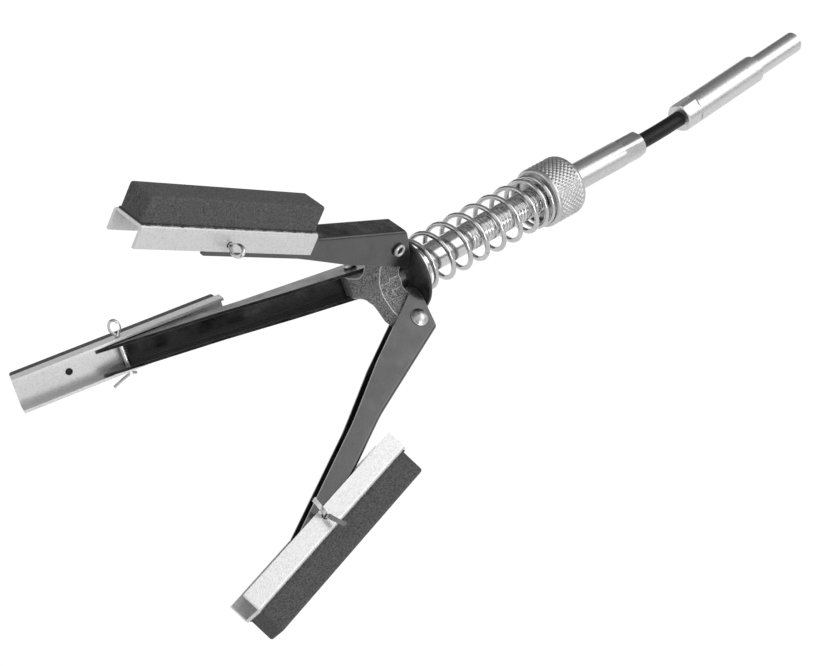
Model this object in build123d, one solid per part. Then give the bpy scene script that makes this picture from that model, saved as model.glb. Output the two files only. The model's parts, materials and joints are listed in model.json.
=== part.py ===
from build123d import *
from math import atan2, cos, degrees, pi, radians, sin, sqrt
import os

# Three-stone cylinder hone: drive shank, flexible cable, sprung nut and cup, hub, three arms with stones.
# The origin is the middle of the shank's pin, +X points out of its free end, +Z is the side of arm 1.
# The head is drawn on its own axis (+Z towards the shank, +X along arm 1, z = 0 at the arm rivets)
# and moved into place once, bent off the shank's line by the flexible cable.

# drive shank
PIN_R = 4.2
PIN_LENGTH = 28.0
PIN_CHAMFER = 1.4
SLEEVE_R = 5.5
SLEEVE_LENGTH = 47.5
SHOULDER_CHAMFER = 0.8
SHANK_CRIMP_LENGTH = 8.0
SLEEVE_FLATS = 10.3
SHANK_X_FRONT = -PIN_LENGTH / 2 - SLEEVE_LENGTH

# flexible cable
CABLE_FREE_LENGTH = 24.7
CABLE_SEAT = 13.0
CABLE_BEND = 3.8
CABLE_BEND_SIDE = -49.2
SHEATH_R = 2.95
SHEATH_BORE_R = 2.0
CORE_R = 1.95
CABLE_BORE_R = 3.0
CABLE_BORE_DEPTH = 15.0

# main shaft
SHAFT_R = 5.1
SHAFT_Z_REAR = 129.0
SHAFT_Z_FRONT = 2.5
SHAFT_CRIMP_LENGTH = 11.0
SHAFT_FLATS = 9.4
SPIGOT_R = 3.5
SPIGOT_LENGTH = 7.5
RUNNING_FIT = 0.06
SEATED_FIT = 0.02

# hub
RIVET_CIRCLE_R = 17.0
LUG_WIDTH = 7.5
LUG_END_R = 4.2
HUB_Z_FRONT = -6.5
HUB_Z_STEP = -2.0
LUG_Z_REAR = 3.0
HUB_BOSS_R = 5.8
FRONT_FACE_R = 11.0
WEB_FILLET = 8.0

# rivets
RIVET_R = 1.8
RIVET_HEAD_R = 3.15
RIVET_HEAD_HEIGHT = 1.6
RIVET_HEAD_STEPS = 4
RIVET_RING_R = 2.35
RIVET_RING_HEIGHT = 1.3
RIVET_HOLLOW_R = 1.05
RIVET_HOLLOW_DEPTH = 3.6
RIVET_SIDE_GAP = 0.1

# arms
ARM_LENGTH = 83.0
ARM_WIDTH = 10.0
ARM_SHEET = 1.1
ARM_BEND_R = 1.3
ARM_OPENINGS = (28.0, 36.0, 28.7)
HEEL_R = 6.9
HEEL_S = -2.3
HEEL_H = -6.07
HEEL_TOP_ANGLE = 40.0
HEEL_LOW_ANGLE = -4.0
WEB_H_REAR = 6.75
WEB_H_TIP = 2.7
WEB_S_TAPER = 40.0
WEB_KNEE_R = 60.0
BELLY_S = 23.0
BELLY_DROP = -0.3
WAIST_S = 42.0
WAIST_RISE = 1.6
TAIL_S = 48.0
EDGE_R = 25.0
HEEL_CORNER_R = 0.9
EAR_CORNER_R = 0.8
CUTTER = 30.0
EAR_S = 2.3
EAR_TIP_S = 9.3
NOTCH_MID_S = 0.8
NOTCH_R = 9.1

# stone holders and stones
HOLDER_LENGTH = 77.0
HOLDER_WIDTH = 12.5
HOLDER_DEPTH = 7.3
HOLDER_SHEET = 1.0
HOLDER_BEND_R = 1.2
HOLDER_FACE_H = 4.8
GLUE_HOLE_R = 1.3
STONE_LENGTH = 76.0
STONE_WIDTH = 10.0
STONE_HEIGHT = 8.9
STONE_CORNER = 0.9
STONE_TILTS = (-28.0, -21.0, -14.3)

# cotter pins
COTTER_R = 1.0
COTTER_SLIT = 0.1
COTTER_BEND_R = 1.2
EYE_END = 12.6
EYE_HALF_WIDTH = 1.15
TAIL_LENGTHS = (7.0, 5.5)
COTTER_TURNS = (20.0, 135.0, 0.0)

# spring cup
CUP_SPHERE_R = 60.0
CUP_R = 14.6
CUP_SHEET = 1.4
CUP_STEPS = 5
HEEL_GAP = 0.12

# tension spring
SPRING_R = 10.0
WIRE_R = 0.9
CLOSED_PITCH = 1.9
CLOSED_TURNS = 1.75
REAR_END_PITCH = 4.8
REAR_END_TURNS = 1.5
FIRST_COIL_Z = 20.5
COIL_PITCH = 8.27
SPRING_SEAT_GAP = 0.08

# adjusting nut
NUT_R = 11.2
NUT_Z_FRONT = 74.4
NUT_LENGTH = 15.2
NUT_RING_LENGTH = 1.5
NUT_RING_R = 10.9
NUT_RECESS_R = 10.3
NUT_RECESS_DEPTH = 1.0
NUT_RIM_R = 2.0

ARM_ANGLES = (0.0, 240.0, 120.0)


def side_face(points, rounds=()):
    """A flat face drawn in the X-Z plane, with chosen corners rounded."""
    face = make_face(Plane.XZ * Polyline(*points, close=True))
    for (x, z), radius in rounds:
        corner = face.vertices().sort_by_distance(Vector(x, 0, z))[0]
        face = fillet(corner, radius)
    return face


def plate(face, width):
    """An X-Z face made into a plate centred on Y = 0."""
    return extrude(face, amount=width / 2, both=True)


def cross_bore(radius, x, z, length):
    """A cutter along Y through (x, z)."""
    return Pos(x, 0, z) * Rot(90, 0, 0) * Cylinder(radius, length)


def crimp(x_front, length, flats):
    """Material pressed away from a round bar along X to leave six flats."""
    middle = Pos(x_front + length / 2, 0, 0) * Rot(0, 90, 0)
    ring = middle * Cylinder(20, length)
    hexagon = middle * extrude(RegularPolygon(flats / 2, 6, major_radius=False), amount=length, both=True)
    return ring - hexagon


def revolved(points):
    """A turned piece from (radius, z) corners, about Z."""
    return revolve(make_face(Plane.XZ * Polyline(*points, close=True)), Axis.Z, 360)


def drive_shank():
    """Pin, shoulder and crimped sleeve, turned about X."""
    x_tip = PIN_LENGTH / 2
    x_step = -PIN_LENGTH / 2
    x_front = SHANK_X_FRONT
    corners = (
        (0, x_tip),
        (PIN_R - PIN_CHAMFER, x_tip),
        (PIN_R, x_tip - PIN_CHAMFER),
        (PIN_R, x_step + SHOULDER_CHAMFER / 2),
        (SLEEVE_R - SHOULDER_CHAMFER, x_step),
        (SLEEVE_R, x_step - SHOULDER_CHAMFER),
        (SLEEVE_R, x_front + 0.5),
        (SLEEVE_R - 0.5, x_front),
        (CABLE_BORE_R, x_front),
        (CABLE_BORE_R, x_front + CABLE_BORE_DEPTH),
        (0, x_front + CABLE_BORE_DEPTH + CABLE_BORE_R * 0.6),
    )
    return Rot(0, 90, 0) * revolved(corners) - crimp(x_front, SHANK_CRIMP_LENGTH, SLEEVE_FLATS)


def cable_frame():
    """Where the head's axis leaves the cable: its origin at the main shaft's rear end, in the shank's frame."""
    side = radians(CABLE_BEND_SIDE)
    up = Vector(0, -sin(side), cos(side))
    bend = radians(CABLE_BEND)
    radius = CABLE_FREE_LENGTH / bend
    front = Vector(SHANK_X_FRONT, 0, 0)
    end = front + Vector(-1, 0, 0) * (radius * sin(bend)) + up * (radius * (1 - cos(bend)))
    forward = Vector(-1, 0, 0) * cos(bend) + up * sin(bend)
    middle = front + Vector(-1, 0, 0) * (radius * sin(bend / 2)) + up * (radius * (1 - cos(bend / 2)))
    return front, middle, end, forward, up


def head_location():
    """Moves the head's own frame (z = 0 at the rivets) onto the bent end of the cable."""
    front, middle, end, forward, up = cable_frame()
    origin = end + forward * SHAFT_Z_REAR
    swing = Vector(1, 0, 0).cross(up)
    x_dir = Vector(0, 0, 1).rotate(Axis((0, 0, 0), swing), -CABLE_BEND)
    return Location(Plane(origin=origin, x_dir=x_dir, z_dir=forward * -1))


def cable_piece(outer_r, inner_r, seat):
    """A length of cable through the bend, seated the same depth in both bores."""
    front, middle, end, forward, up = cable_frame()
    start = front + Vector(seat, 0, 0)
    finish = end + forward * seat
    path = Line(start, front) + ThreePointArc(front, middle, end) + Line(end, finish)
    section = Plane(origin=start, x_dir=(0, 1, 0), z_dir=(-1, 0, 0))
    solid = sweep(section * Circle(outer_r), path=path)
    if inner_r:
        solid -= sweep(section * Circle(inner_r), path=path)
    return solid


def main_shaft():
    """Rod with a crimped rear end bored for the cable and a spigot seated in the hub."""
    z_rear = SHAFT_Z_REAR
    z_bore = z_rear - CABLE_BORE_DEPTH
    corners = (
        (0, SHAFT_Z_FRONT - SPIGOT_LENGTH),
        (SPIGOT_R - 0.4, SHAFT_Z_FRONT - SPIGOT_LENGTH),
        (SPIGOT_R, SHAFT_Z_FRONT - SPIGOT_LENGTH + 0.4),
        (SPIGOT_R, SHAFT_Z_FRONT),
        (SHAFT_R, SHAFT_Z_FRONT),
        (SHAFT_R, z_rear - 0.7),
        (SHAFT_R - 0.7, z_rear),
        (CABLE_BORE_R, z_rear),
        (CABLE_BORE_R, z_bore),
        (0, z_bore - CABLE_BORE_R * 0.6),
    )
    pressed = Rot(0, -90, 0) * crimp(z_rear - SHAFT_CRIMP_LENGTH, SHAFT_CRIMP_LENGTH, SHAFT_FLATS)
    return revolved(corners) - pressed


def hub_spider():
    """Cast hub: a Y-shaped front, three lugs, a round boss behind and a blind bore for the shaft's spigot."""
    arms = Sketch() + [
        Rot(0, 0, angle) * Pos(FRONT_FACE_R / 2, 0) * Rectangle(FRONT_FACE_R, LUG_WIDTH) for angle in ARM_ANGLES
    ]
    inner = arms.vertices().group_by(lambda v: round(Vector(v.X, v.Y, 0).length, 1))[0]
    front = Pos(0, 0, HUB_Z_FRONT) * extrude(fillet(inner, WEB_FILLET), amount=HUB_Z_STEP - HUB_Z_FRONT)
    boss = Pos(0, 0, HUB_Z_FRONT) * Cylinder(
        HUB_BOSS_R, SHAFT_Z_FRONT - HUB_Z_FRONT, align=(Align.CENTER, Align.CENTER, Align.MIN)
    )
    reach = sqrt((RIVET_CIRCLE_R - FRONT_FACE_R) ** 2 + HUB_Z_FRONT ** 2)
    turn = atan2(-HUB_Z_FRONT, RIVET_CIRCLE_R - FRONT_FACE_R) - atan2(LUG_END_R, sqrt(reach ** 2 - LUG_END_R ** 2))
    tangent = sqrt(reach ** 2 - LUG_END_R ** 2)
    low = (FRONT_FACE_R + tangent * cos(turn), HUB_Z_FRONT + tangent * sin(turn))
    high = (RIVET_CIRCLE_R + sqrt(LUG_END_R ** 2 - LUG_Z_REAR ** 2), LUG_Z_REAR)
    boundary = Polyline(low, (FRONT_FACE_R, HUB_Z_FRONT), (0, HUB_Z_FRONT), (0, SHAFT_Z_FRONT))
    boundary += Polyline((0, SHAFT_Z_FRONT), (HUB_BOSS_R + 1, SHAFT_Z_FRONT), (HUB_BOSS_R + 1.5, LUG_Z_REAR), high)
    boundary += ThreePointArc(high, (RIVET_CIRCLE_R + LUG_END_R, 0), low)
    lug = plate(make_face(Plane.XZ * boundary), LUG_WIDTH)
    lug -= cross_bore(RIVET_R + SEATED_FIT, RIVET_CIRCLE_R, 0, CUTTER)
    hub = front + boss
    for angle in ARM_ANGLES:
        hub += Rot(0, 0, angle) * lug
    z_floor = SHAFT_Z_FRONT - SPIGOT_LENGTH - 0.3
    return hub - Pos(0, 0, z_floor) * Cylinder(
        SPIGOT_R + SEATED_FIT, 20, align=(Align.CENTER, Align.CENTER, Align.MIN)
    )


def rivet():
    """Semi-tubular rivet along Y: domed head on the low side, rolled hollow end on the high side."""
    seat = ARM_WIDTH / 2 + RIVET_SIDE_GAP
    sphere_r = (RIVET_HEAD_R ** 2 + RIVET_HEAD_HEIGHT ** 2) / (2 * RIVET_HEAD_HEIGHT)
    radii = [RIVET_HEAD_R * i / RIVET_HEAD_STEPS for i in range(RIVET_HEAD_STEPS + 1)]
    dome = revolved(
        [(0, -seat)]
        + [(radius, -seat - RIVET_HEAD_HEIGHT + sphere_r - sqrt(sphere_r ** 2 - radius ** 2)) for radius in radii]
    )
    shank = Cylinder(RIVET_R, 2 * seat)
    ring_top = seat + RIVET_RING_HEIGHT
    ring = revolved(
        (
            (0, seat),
            (RIVET_RING_R - 0.25, seat),
            (RIVET_RING_R, seat + 0.3),
            (RIVET_RING_R, ring_top - 0.5),
            (RIVET_RING_R - 0.45, ring_top),
            (RIVET_HOLLOW_R + 0.4, ring_top),
            (0, ring_top - 0.6),
        )
    )
    hollow = Pos(0, 0, ring_top - RIVET_HOLLOW_DEPTH) * Cylinder(
        RIVET_HOLLOW_R, 10, align=(Align.CENTER, Align.CENTER, Align.MIN)
    )
    body = dome + shank - hollow
    return Rot(-90, 0, 0) * (body + (ring - hollow))


def arm():
    """Pressed channel: X runs from rivet to pin, Z outwards, flanges inwards, heels behind the rivet."""
    top = radians(HEEL_TOP_ANGLE)
    low = radians(HEEL_LOW_ANGLE)
    middle = (top + low) / 2
    heel = [(HEEL_S - HEEL_R * cos(a), HEEL_H + HEEL_R * sin(a)) for a in (top, middle, low)]
    rise = (WEB_H_REAR - heel[0][1]) / cos(top)
    web_rear = (heel[0][0] + rise * sin(top), WEB_H_REAR)
    h_low = heel[2][1]
    tip_h = WEB_H_TIP - (EAR_TIP_S - EAR_S)
    tip_corner = (ARM_LENGTH + EAR_TIP_S + 0.3, tip_h - 0.3)
    belly = (BELLY_S, h_low - BELLY_DROP)
    waist = (WAIST_S, h_low + WAIST_RISE)
    edge = Polyline(
        heel[2],
        belly,
        waist,
        (TAIL_S, tip_h - 0.3),
        tip_corner,
        (ARM_LENGTH + EAR_S, WEB_H_TIP),
        (WEB_S_TAPER, WEB_H_TIP),
        web_rear,
        heel[0],
    )
    outline = make_face(Plane.XZ * (edge + ThreePointArc(*heel)))
    for (x, z), radius in (
        (tip_corner, EAR_CORNER_R),
        (heel[2], HEEL_CORNER_R),
        (belly, EDGE_R),
        (waist, EDGE_R),
        ((WEB_S_TAPER, WEB_H_TIP), WEB_KNEE_R),
    ):
        corner = outline.vertices().sort_by_distance(Vector(x, 0, z))[0]
        outline = fillet(corner, radius)
    channel = plate(outline, ARM_WIDTH)
    bends = [
        e
        for e in channel.edges()
        if abs(abs(e.center().Y) - ARM_WIDTH / 2) < 0.01 and e.center().Z > WEB_H_TIP - 0.05 and e.length > 3
    ]
    channel = fillet(bends, ARM_BEND_R)
    inside = ARM_WIDTH - 2 * ARM_SHEET
    slope = (WEB_H_REAR - WEB_H_TIP) / (WEB_S_TAPER - web_rear[0])
    under = WEB_H_TIP - ARM_SHEET
    hollow = make_face(
        Plane.XZ
        * Polyline(
            (-CUTTER, -CUTTER),
            (ARM_LENGTH + CUTTER, -CUTTER),
            (ARM_LENGTH + CUTTER, under),
            (WEB_S_TAPER, under),
            (-CUTTER, under + slope * (WEB_S_TAPER + CUTTER)),
            close=True,
        )
    )
    knee = hollow.vertices().sort_by_distance(Vector(WEB_S_TAPER, 0, under))[0]
    channel -= plate(fillet(knee, WEB_KNEE_R - ARM_SHEET), inside)
    notch = Pos(ARM_LENGTH + NOTCH_MID_S + NOTCH_R, 0, 0) * Cylinder(NOTCH_R, CUTTER)
    notch += Pos(ARM_LENGTH + NOTCH_MID_S + NOTCH_R, 0, 0) * Box(
        NOTCH_R, CUTTER, CUTTER, align=(Align.MIN, Align.CENTER, Align.CENTER)
    )
    notch &= Pos(ARM_LENGTH, 0, 0) * Box(2 * CUTTER, inside, CUTTER)
    channel -= notch
    channel -= cross_bore(RIVET_R + RUNNING_FIT, 0, 0, CUTTER)
    channel -= cross_bore(COTTER_R + RUNNING_FIT, ARM_LENGTH, 0, CUTTER)
    return channel


def stone_holder():
    """Galvanised channel: origin at the cotter pin, X towards the front, Z outwards."""
    channel = Pos(0, 0, HOLDER_FACE_H - HOLDER_DEPTH / 2) * Box(HOLDER_LENGTH, HOLDER_WIDTH, HOLDER_DEPTH)
    bends = channel.edges().filter_by(Axis.X).group_by(Axis.Z)[-1]
    channel = fillet(bends, HOLDER_BEND_R)
    inside = HOLDER_WIDTH - 2 * HOLDER_SHEET
    channel -= Pos(0, 0, HOLDER_FACE_H - HOLDER_SHEET - 10) * Box(HOLDER_LENGTH + 10, inside, 20)
    channel -= cross_bore(COTTER_R + RUNNING_FIT, 0, 0, CUTTER)
    for x in (-HOLDER_LENGTH / 4, HOLDER_LENGTH / 4):
        channel -= Pos(x, 0, HOLDER_FACE_H) * Cylinder(GLUE_HOLE_R, 10)
    return channel


def stone():
    """Abrasive stick on the holder's outer face."""
    block = Pos(0, 0, HOLDER_FACE_H + STONE_HEIGHT / 2) * Box(STONE_LENGTH, STONE_WIDTH, STONE_HEIGHT)
    upper = block.edges().group_by(Axis.Z)[-1]
    uprights = block.edges().filter_by(Axis.Z)
    return fillet(upper + uprights, STONE_CORNER)


def cotter_pin(turn):
    """Half-round wire folded double along Y: eye on the high side, two tails spread on the low side."""
    half = COTTER_SLIT / 2
    neck = HOLDER_WIDTH / 2 + 0.5
    shoulder = neck + 1.9
    bend = -HOLDER_WIDTH / 2 - COTTER_R - 0.5
    lean = 0.35
    points = (
        (bend - TAIL_LENGTHS[0] * lean, half + TAIL_LENGTHS[0]),
        (bend, half),
        (neck, half),
        (shoulder, EYE_HALF_WIDTH + 0.1),
        (EYE_END - COTTER_R, EYE_HALF_WIDTH + 0.1),
        (EYE_END - COTTER_R, -EYE_HALF_WIDTH - 0.1),
        (shoulder, -EYE_HALF_WIDTH - 0.1),
        (neck, -half),
        (bend, -half),
        (bend - TAIL_LENGTHS[1] * lean, -half - TAIL_LENGTHS[1]),
    )
    path = Plane.YZ * FilletPolyline(*points, radius=COTTER_BEND_R)
    start = path @ 0
    along = path % 0
    section = Plane(origin=start, x_dir=(1, 0, 0), z_dir=along)
    lower_half = Pos(0, -COTTER_R) * Rectangle(2 * COTTER_R, 2 * COTTER_R)
    wire = section * (RegularPolygon(COTTER_R, 10) & lower_half)
    return Rot(0, turn, 0) * sweep(wire, path=path)


def spring_cup(z_apex):
    """Domed disc, convex towards the arm heels, sliding on the main shaft."""
    centre = z_apex + CUP_SPHERE_R
    inner_r = CUP_SPHERE_R - CUP_SHEET
    bore = SHAFT_R + RUNNING_FIT
    rim = CUP_R - 0.25

    def dome_z(sphere_r, radius):
        return centre - sqrt(sphere_r ** 2 - radius ** 2)

    radii = [bore + (rim - bore) * i / CUP_STEPS for i in range(CUP_STEPS + 1)]
    front = [(radius, dome_z(CUP_SPHERE_R, radius)) for radius in radii]
    back = [(radius, dome_z(inner_r, radius)) for radius in reversed(radii)]
    edge = [(CUP_R, dome_z(CUP_SPHERE_R, CUP_R) + 0.3), (CUP_R, dome_z(inner_r, CUP_R) - 0.2)]
    return revolved(front + edge + back)


def tension_spring(z_start, z_end):
    """Right-handed spring, closed at the cup and half closed at the nut, drawn as a six-sided wire."""
    coil_r = SPRING_R - WIRE_R
    low = z_start + WIRE_R
    high = z_end - WIRE_R
    closed = CLOSED_TURNS * CLOSED_PITCH
    rear_end = REAR_END_TURNS * REAR_END_PITCH
    active = (high - low - closed - rear_end) / COIL_PITCH
    phase = CABLE_BEND_SIDE / 360 - (FIRST_COIL_Z - low - closed) / COIL_PITCH - CLOSED_TURNS
    turns = CLOSED_TURNS + active + REAR_END_TURNS
    steps = int(turns * 12)
    points = []
    for i in range(steps + 1):
        n = turns * i / steps
        if n < CLOSED_TURNS:
            z = low + n * CLOSED_PITCH
        elif n < CLOSED_TURNS + active:
            z = low + closed + (n - CLOSED_TURNS) * COIL_PITCH
        else:
            z = high - (turns - n) * REAR_END_PITCH
        a = 2 * pi * (n + phase)
        points.append((coil_r * cos(a), coil_r * sin(a), z))
    path = Spline(*points)
    section = Plane(origin=path @ 0, x_dir=(0, 0, 1), z_dir=path % 0)
    return sweep(section * RegularPolygon(WIRE_R, 6), path=path, is_frenet=True)


def adjusting_nut():
    """Turned nut: plain front ring with a recess for the spring, grip band, rounded rear rim."""
    z0 = NUT_Z_FRONT
    z1 = NUT_Z_FRONT + NUT_LENGTH
    bore = SHAFT_R + RUNNING_FIT
    corners = (
        (bore, z0 + NUT_RECESS_DEPTH),
        (NUT_RECESS_R, z0 + NUT_RECESS_DEPTH),
        (NUT_RECESS_R, z0),
        (NUT_RING_R - 0.3, z0),
        (NUT_RING_R, z0 + 0.4),
        (NUT_RING_R, z0 + NUT_RING_LENGTH - 0.5),
        (NUT_R, z0 + NUT_RING_LENGTH),
        (NUT_R, z1 - NUT_RIM_R),
        (NUT_R - NUT_RIM_R * 0.3, z1 - NUT_RIM_R * 0.3),
        (NUT_R - NUT_RIM_R, z1),
        (bore + 0.8, z1),
        (bore, z1 - 0.8),
    )
    return revolved(corners)


def arm_location(angle, opening):
    """The arm's own frame: origin at its rivet, X along the arm, Z outwards."""
    return Location((0, 0, 0), (0, 0, angle)) * Location(
        Plane(
            origin=(RIVET_CIRCLE_R, 0, 0),
            x_dir=(sin(radians(opening)), 0, -cos(radians(opening))),
            z_dir=(cos(radians(opening)), 0, sin(radians(opening))),
        )
    )


def main():
    opening = radians(ARM_OPENINGS[0])
    heel_z = -HEEL_S * cos(opening) + HEEL_H * sin(opening)
    heel_r = RIVET_CIRCLE_R + HEEL_S * sin(opening) + HEEL_H * cos(opening)
    apex = heel_z + sqrt((CUP_SPHERE_R + HEEL_R + HEEL_GAP) ** 2 - heel_r ** 2) - CUP_SPHERE_R
    seat_r = SPRING_R - WIRE_R
    spring_z0 = apex + CUP_SPHERE_R - sqrt((CUP_SPHERE_R - CUP_SHEET) ** 2 - seat_r ** 2) + SPRING_SEAT_GAP
    spring_z1 = NUT_Z_FRONT + NUT_RECESS_DEPTH - SPRING_SEAT_GAP

    fixed = {
        "drive_shank": drive_shank(),
        "cable_core": cable_piece(CORE_R, 0, CABLE_SEAT + 1),
        "cable_sheath": cable_piece(SHEATH_R, SHEATH_BORE_R, CABLE_SEAT),
    }
    head = {
        "main_shaft": main_shaft(),
        "adjusting_nut": adjusting_nut(),
        "tension_spring": tension_spring(spring_z0, spring_z1),
        "spring_cup": spring_cup(apex),
        "hub_spider": hub_spider(),
    }
    arm_piece = arm()
    rivet_piece = rivet()
    holder_piece = stone_holder()
    stone_piece = stone()
    sides = zip(ARM_ANGLES, ARM_OPENINGS, STONE_TILTS, COTTER_TURNS)
    for number, (angle, open_by, tilt, turn) in enumerate(sides, start=1):
        at_rivet = arm_location(angle, open_by)
        at_pin = at_rivet * Pos(ARM_LENGTH, 0, 0) * Rot(0, open_by + tilt, 0)
        head[f"arm_{number}"] = at_rivet * arm_piece
        on_hub = Rot(0, 0, angle) * Pos(RIVET_CIRCLE_R, 0, 0)
        head[f"arm_rivet_{number}"] = on_hub * rivet_piece
        head[f"stone_holder_{number}"] = at_pin * holder_piece
        head[f"stone_{number}"] = at_pin * stone_piece
        head[f"cotter_pin_{number}"] = at_pin * cotter_pin(turn)

    place = head_location()
    nodes = dict(fixed)
    nodes.update({name: place * piece for name, piece in head.items()})
    for name, piece in nodes.items():
        solids = piece.solids()
        print(f"{name}: {len(solids)} solid, {sum(s.volume for s in solids):.1f} mm3")
        export_step(solids[0] if len(solids) == 1 else piece, f"parts/{name}.step")


main()
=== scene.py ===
"""Looks for a three-stone cylinder hone: finishes, fine metalwork, floor, lights and camera."""
import json
import math
import bpy
from mathutils import Matrix, Vector


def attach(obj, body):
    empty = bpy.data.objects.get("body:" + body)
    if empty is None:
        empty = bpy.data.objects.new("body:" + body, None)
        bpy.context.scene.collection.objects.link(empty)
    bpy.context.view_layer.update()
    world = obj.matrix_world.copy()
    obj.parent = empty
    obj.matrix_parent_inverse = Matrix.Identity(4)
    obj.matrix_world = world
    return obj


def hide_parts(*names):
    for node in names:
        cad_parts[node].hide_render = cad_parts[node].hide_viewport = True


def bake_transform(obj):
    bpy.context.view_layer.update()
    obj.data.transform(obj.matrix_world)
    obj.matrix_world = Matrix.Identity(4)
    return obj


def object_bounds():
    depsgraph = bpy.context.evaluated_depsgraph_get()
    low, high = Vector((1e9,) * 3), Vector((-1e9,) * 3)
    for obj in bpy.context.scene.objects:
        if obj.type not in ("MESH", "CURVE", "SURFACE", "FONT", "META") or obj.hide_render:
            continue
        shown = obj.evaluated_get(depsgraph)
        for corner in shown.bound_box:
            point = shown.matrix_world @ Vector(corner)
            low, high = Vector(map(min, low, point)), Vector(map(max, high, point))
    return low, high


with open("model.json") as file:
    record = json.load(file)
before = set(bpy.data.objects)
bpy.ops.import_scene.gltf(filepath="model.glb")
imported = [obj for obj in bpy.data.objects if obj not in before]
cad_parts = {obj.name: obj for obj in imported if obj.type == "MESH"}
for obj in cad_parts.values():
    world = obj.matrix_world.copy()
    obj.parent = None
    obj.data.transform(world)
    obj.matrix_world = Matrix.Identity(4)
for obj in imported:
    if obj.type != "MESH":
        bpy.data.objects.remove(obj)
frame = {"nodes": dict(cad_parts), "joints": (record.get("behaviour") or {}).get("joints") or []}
cad_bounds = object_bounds()
nodes = frame["nodes"]

MM = 0.001

# the head's own axes in the shared frame: Z along the main shaft towards the shank, X towards arm 1
HEAD_X = Vector((0.043304732, -0.001087473, 0.999061318))
HEAD_Y = Vector((-0.050169015, -0.998740150, 0.001087473))
HEAD_Z = Vector((0.997801468, -0.050169015, -0.043304732))
HEAD_ORIGIN = Vector((-214.898286, 7.091617, 6.121320))

# sizes in mm, angles in degrees, numbers of steps, sides and segments
SHAFT_R = 5.1
SHAFT_Z_FRONT = 2.5
SHAFT_Z_REAR = 129.0
SHAFT_CHAMFER = 0.7
SHAFT_RELIEF_DEPTH = 0.75
SHAFT_SEGMENTS = 60
SPIGOT_R = 3.5
SPIGOT_Z = -5.0
SPIGOT_CHAMFER = 0.4
CABLE_BORE_R = 3.0
CABLE_BORE_DEPTH = 15.0
SHAFT_CRIMP_LENGTH = 11.0
SHAFT_CRIMP_STEP = 0.25
SHAFT_FLATS = 9.4
THREAD_Z_FRONT = 37.0
THREAD_Z_REAR = 90.0
THREAD_PITCH = 1.5
THREAD_DEPTH = 0.42
THREAD_SLOPE = 2.5
THREAD_RUN_OUT = 1.5
THREAD_STEPS = 8
CABLE_FREE_LENGTH = 24.7
CABLE_SEAT = 13.0
CABLE_X_REAR = -61.5
CABLE_BEND = 3.8
CABLE_BEND_SIDE = -49.2
CABLE_STEPS = 36
SHEATH_R = 2.95
SHEATH_SIDES = 32
CORE_R = 1.95
CORE_SIDES = 24
STRAND_LOW = 0.93
STRAND_RISE = 0.07
STRAND_TWIST = 0.02
RIVET_CIRCLE_R = 17.0
RIVET_SEAT = 5.1
RIVET_HEAD_R = 3.15
RIVET_HEAD_HEIGHT = 1.6
RIVET_HEAD_EDGE = (0.15, 0.12)
RIVET_HEAD_FOOT = 0.1
RIVET_R = 1.8
RIVET_SEGMENTS = 40
RIVET_DOME_STEPS = 9
RING_R = 2.35
RING_HEIGHT = 1.3
RING_FOOT = (0.25, 0.3)
RING_STEPS = 8
HOLLOW_R = 1.05
HOLLOW_DEPTH = 3.6
HOLLOW_TIP = 0.4
CUP_SPHERE_R = 60.0
CUP_SHEET = 1.4
CUP_R = 14.6
CUP_APEX_Z = 5.36
CUP_EDGE_R = 0.5
CUP_EDGE_HALF_HEIGHT = 0.68
CUP_EDGE_ANGLE = 75
CUP_EDGE_STEPS = 6
CUP_CLEARANCE = 0.06
CUP_STEPS = 14
SPRING_R = 10.0
WIRE_R = 0.9
WIRE_SIDES = 10
SPRING_Z = (7.55, 75.32)
CLOSED_TURNS = 2.15
CLOSED_PITCH = 3.0
REAR_END_TURNS = 1.9
REAR_END_PITCH = 3.5
COIL_PITCH = 8.27
COIL_STEPS = 30
COIL_EASING = (-0.1, -0.05, 0.0, 0.05, 0.1)
FIRST_COIL_Z = 20.5
NUT_R = 11.2
NUT_Z_FRONT = 74.4
NUT_LENGTH = 15.2
NUT_RING_LENGTH = 1.5
NUT_RECESS_R = 10.3
NUT_RECESS_DEPTH = 1.0
NUT_LIP = ((0.5, 0.2), (0.3, 0.0))
NUT_RIM_R = 2.4
NUT_FRONT_RIM_R = 1.1
NUT_BORE_R = 5.16
NUT_BORE_CHAMFER = 0.8
KNURL_COUNT = 38
KNURL_PITCH = 2.0
KNURL_DEPTH = 0.45
KNURL_SLOPE = 3.4
KNURL_FADE = 0.5
KNURL_STEPS = 52
KNURL_SEGMENTS = 8
ARM_ANGLES = (0.0, 240.0, 120.0)
HOLDER_OPENINGS = (28.0, 21.0, 14.3)
HOLDER_WIDTH = 12.5
HOLDER_FACE_H = 4.8
STONE_LENGTH = 76.0
STONE_WIDTH = 10.0
GLUE_THICKNESS = 0.45
GLUE_REACH = 0.45
GLUE_BEVEL = 0.1
GLUE_STEPS = 160
PIN_WIRE_R = 0.85
PIN_SLIT = 0.12
PIN_EYE_HALF_WIDTH = 1.45
PIN_EYE_HALF_LENGTH = 2.1
PIN_EYE_Y = 9.9
PIN_EYE_ANGLES = (-62, 242)
PIN_EYE_STEPS = 18
PIN_SHANK_STEPS = 6
PIN_WIRE_STEPS = 8
PIN_FORK_GAP = 1.2
PIN_NECK_GAP = 0.7
PIN_SHANK_START = 2.0
PIN_NECK_FLARE = (0.5, 0.3)
PIN_TAILS = ((7.0, 5.5), (7.5, 2.0), (7.0, 7.0))
PIN_TURNS = (67.0, -8.0, -95.0)
# where a cotter pin's tails bend, as (drop, spread) in parts of a tail's length
PIN_TAIL_BENDS = ((0.42, 0.9), (0.2, 0.42))
# where the tails part, as (height, spread) in mm
PIN_FORK = ((-0.5, 0.55), (0.1, 0.14), (0.8, 0.0))
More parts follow.
